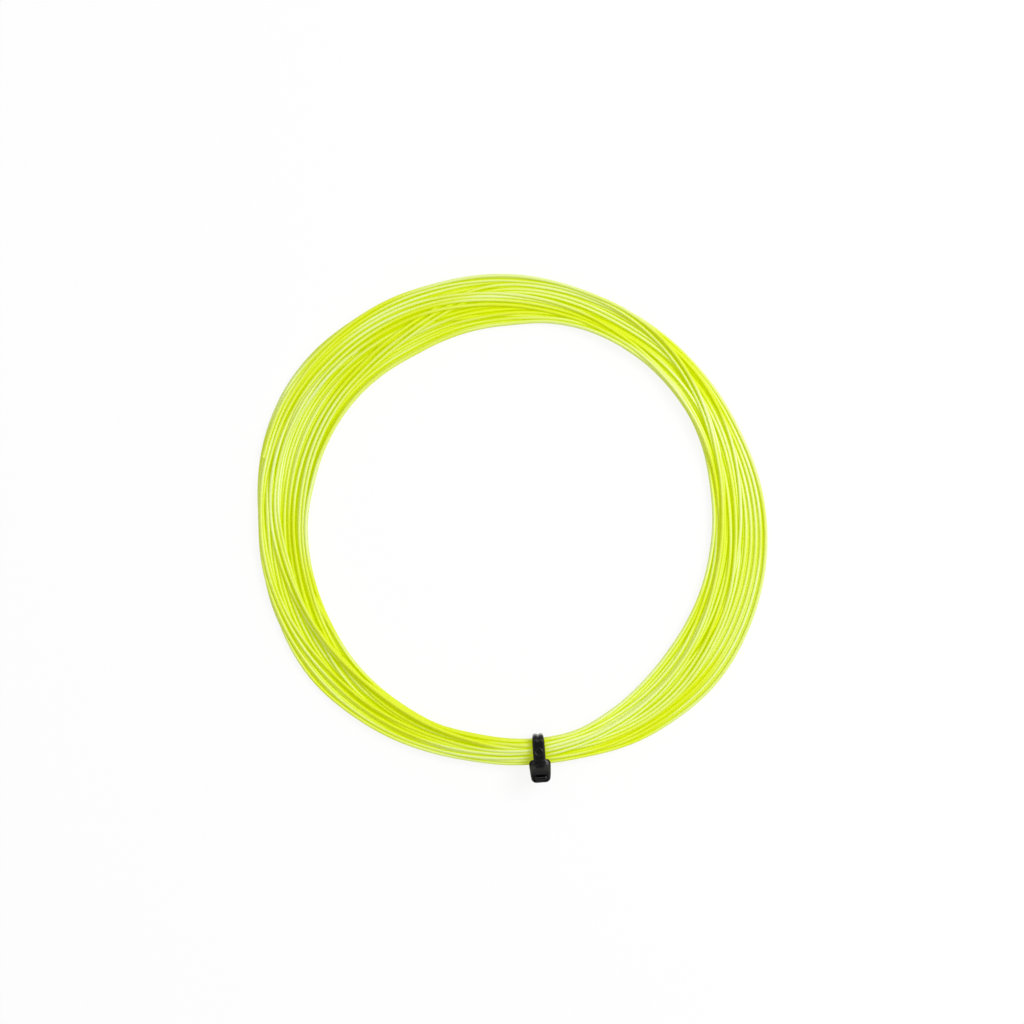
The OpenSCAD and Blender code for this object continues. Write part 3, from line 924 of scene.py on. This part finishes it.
# Slot, lead-in and pocket, outward from the tie's foot and up from the head's underside
SLOT_W = 2.6
SLOT_IN_Y = 4.65
SLOT_OUT_Y = 5.735
SLOT_FLOOR_H = 0.5
LEAD_W = 1.9
LEAD_L = 0.3
LEAD_DEPTH = 0.5
LEAD_STEP = 0.02
CUT_OVERLAP = 0.1
CUT_ABOVE = 1.0
POCKET_W = 1.7
POCKET = ((4.7, 0.41), (4.098, 0.41), (4.098, 0.5), (3.757, 1.66), (3.757, 2.24), (4.7, 2.24))

# Down from the flat top to the upright side: share of the way across, share of the drop
CHAMFER = ((1, 1), (0.93, 0.8), (0.45, 0.22), (0, 0))

# At some distances from the strap's root: height, half-width of the flat top and drop beside it
profile = np.array((
    (0, 1.0, 1.03, SHOULDER_DROP),
    (1.05, 1.05, 1.03, SHOULDER_DROP),
    (1.35, 1.44, 1.5, SIDE_DROP),
    (2.79, HEAD_H, 1.6, SIDE_DROP),
    (4.2, HEAD_H, 1.42, SIDE_DROP),
    (HEAD_L, HEAD_H - HEAD_END_DROP, 1.35, SIDE_DROP),
))
into_corner = HEAD_CORNER_R * (1 - np.cos(CORNER_TURNS))
stations = np.concatenate([into_corner, HEAD_L - into_corner, profile[:, 0]]).round(4)
verts = []
for along in np.unique(stations):
    height, flat, drop = (np.interp(along, profile[:, 0], profile[:, k]) for k in (1, 2, 3))
    near_end = max(HEAD_CORNER_R - along, along - HEAD_L + HEAD_CORNER_R, 0)
    rounding = HEAD_CORNER_R - math.sqrt(HEAD_CORNER_R**2 - near_end**2)
    taper = HEAD_TAPER * max(0, along - TAPER_FROM) / (HEAD_L - TAPER_FROM)
    w = HEAD_W / 2 - taper - rounding
    flat = min(flat, w - CHAMFER_LEAST_W)
    right = [(w, 0)] + [(flat + (w - flat) * out, height - drop * down) for out, down in CHAMFER]
    outline = right + [(-x, h) for x, h in right[::-1]]
    verts += [(x, HEAD_ROOT_Y + along, strap_top_z + h) for x, h in outline]
block = skinned("head_block", verts, len(outline))


def prism(name, outline, w):
    """A block across the tie, from its outline outward and up from the head's underside."""
    verts = [(x, y, strap_top_z + h) for x in (-w / 2, w / 2) for y, h in outline]
    return skinned(name, verts, len(outline))


above = HEAD_H + CUT_ABOVE
lead_floor = HEAD_H - LEAD_DEPTH
slot = (
    (SLOT_IN_Y, SLOT_FLOOR_H),
    (SLOT_OUT_Y, SLOT_FLOOR_H),
    (SLOT_OUT_Y, above),
    (SLOT_IN_Y, above),
)
lead_in = (
    (SLOT_IN_Y + CUT_OVERLAP, lead_floor),
    (SLOT_IN_Y + CUT_OVERLAP, above),
    (SLOT_IN_Y - LEAD_L, above),
    (SLOT_IN_Y - LEAD_L, HEAD_H),
    (SLOT_IN_Y - LEAD_STEP, lead_floor),
)
cuts = (
    prism("slot", slot, SLOT_W),
    prism("lead_in", lead_in, LEAD_W),
    prism("pocket", POCKET, POCKET_W),
)
head = moulding("head_block", (block,))
soften = head.modifiers.new("softened edges", "BEVEL")
soften.width = EDGE_ROUND * MM
soften.segments = 2
soften.angle_limit = math.radians(ROUNDED_ANGLE)
cutters = []
for mesh in cuts:
    cutters.append(moulding(mesh.name, (mesh,)))
    hollow = head.modifiers.new(mesh.name, "BOOLEAN")
    hollow.object = cutters[-1]
    hollow.solver = "EXACT"
bpy.context.view_layer.update()
seen = head.evaluated_get(bpy.context.evaluated_depsgraph_get())
tie_head = moulding("cable_tie_head", (bpy.data.meshes.new_from_object(seen),))
for used in (head, *cutters):
    bpy.data.objects.remove(used)
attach(tie_head, "coil")
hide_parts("tie_head")

# ---- Cable tie: pawl ----
# The toothed tongue inside the head that lets the strap in and holds it, moulded in one with the
# head on a thin web. It keeps its own solid, in the same black nylon.

pawl = frame["nodes"]["tie_pawl"]
pawl.data.materials.clear()
pawl.data.materials.append(nylon)

bpy.context.view_layer.update()
